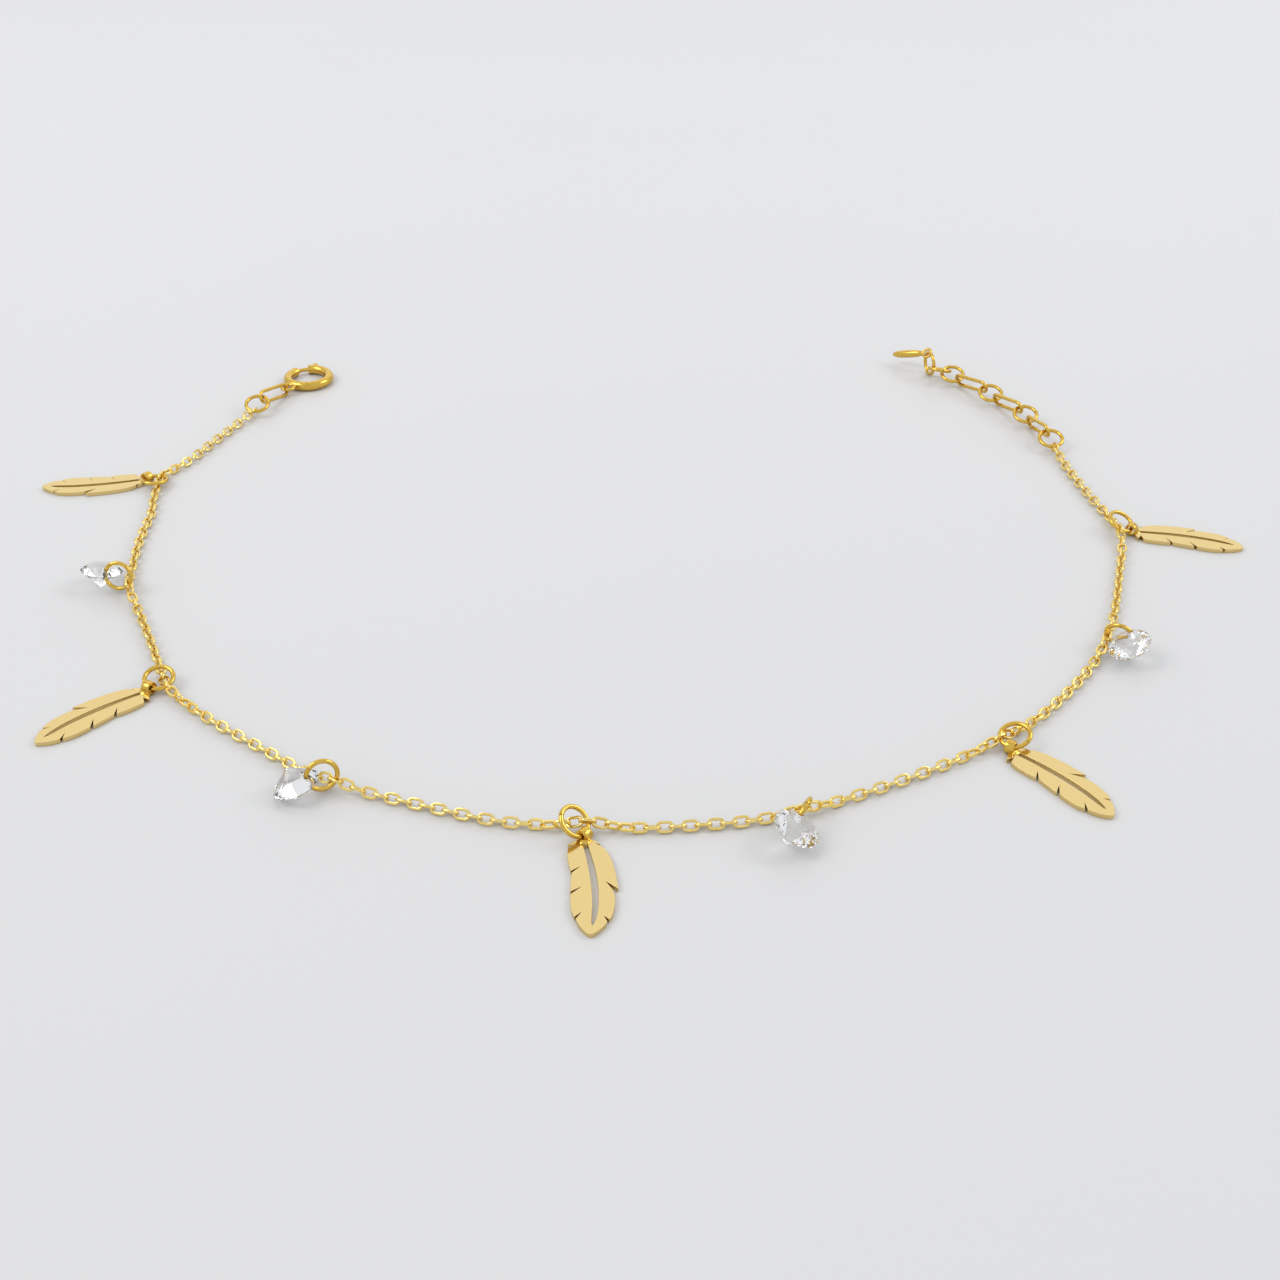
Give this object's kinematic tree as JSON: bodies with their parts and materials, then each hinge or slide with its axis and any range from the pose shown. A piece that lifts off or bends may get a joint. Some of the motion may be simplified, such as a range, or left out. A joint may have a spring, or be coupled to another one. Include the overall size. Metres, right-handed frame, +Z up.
{
  "type": "charm_bracelet",
  "caption": "Fine gold cable-chain charm bracelet lying open, with pierced feather and drilled stone drops on jump rings, a spring-ring clasp and a ring extender",
  "frame": {"origin": "middle of the whole piece's box, on the floor that it lies on", "axes": "+Z up, +Y towards the open side of the U, +X towards the extender"},
  "size_m": [0.1266, 0.1032, 0.0032],
  "materials": {
    "gold": "polished",
    "pale_gold": "satin",
    "stone": "clear"
  },
  "bodies": {
    "bracelet": {"chain_left": "gold", "chain_right": "gold", "charm_ring_1": "gold", "charm_ring_2": "gold", "charm_ring_3": "gold", "charm_ring_4": "gold", "charm_ring_5": "gold", "charm_ring_6": "gold", "charm_ring_7": "gold", "charm_ring_8": "gold", "charm_ring_9": "gold", "end_ring": "gold", "end_link": "gold", "extender_ring_1": "gold", "extender_ring_2": "gold", "extender_ring_3": "gold", "extender_ring_4": "gold", "extender_link_1": "gold", "extender_link_2": "gold", "extender_link_3": "gold", "bar_ring": "gold", "upright_ring": "gold", "end_drop": "gold", "clasp_ring": "gold", "feather_1": "pale_gold", "feather_2": "pale_gold", "feather_3": "pale_gold", "feather_4": "pale_gold", "feather_5": "pale_gold", "stone_1": "stone", "stone_2": "stone", "stone_3": "stone", "stone_4": "stone"},
    "bolt": {"clasp_bolt": "gold"}
  },
  "joints": [
    {"name": "clasp_trigger", "type": "hinge", "parent": "bracelet", "child": "bolt", "pos_m": [-0.03882, 0.0456, 0.00057], "axis": [0, 0, 1], "range_deg": [-38, 0], "stiffness_Nm_per_rad": 0.001, "springref_deg": 11.46}
  ]
}
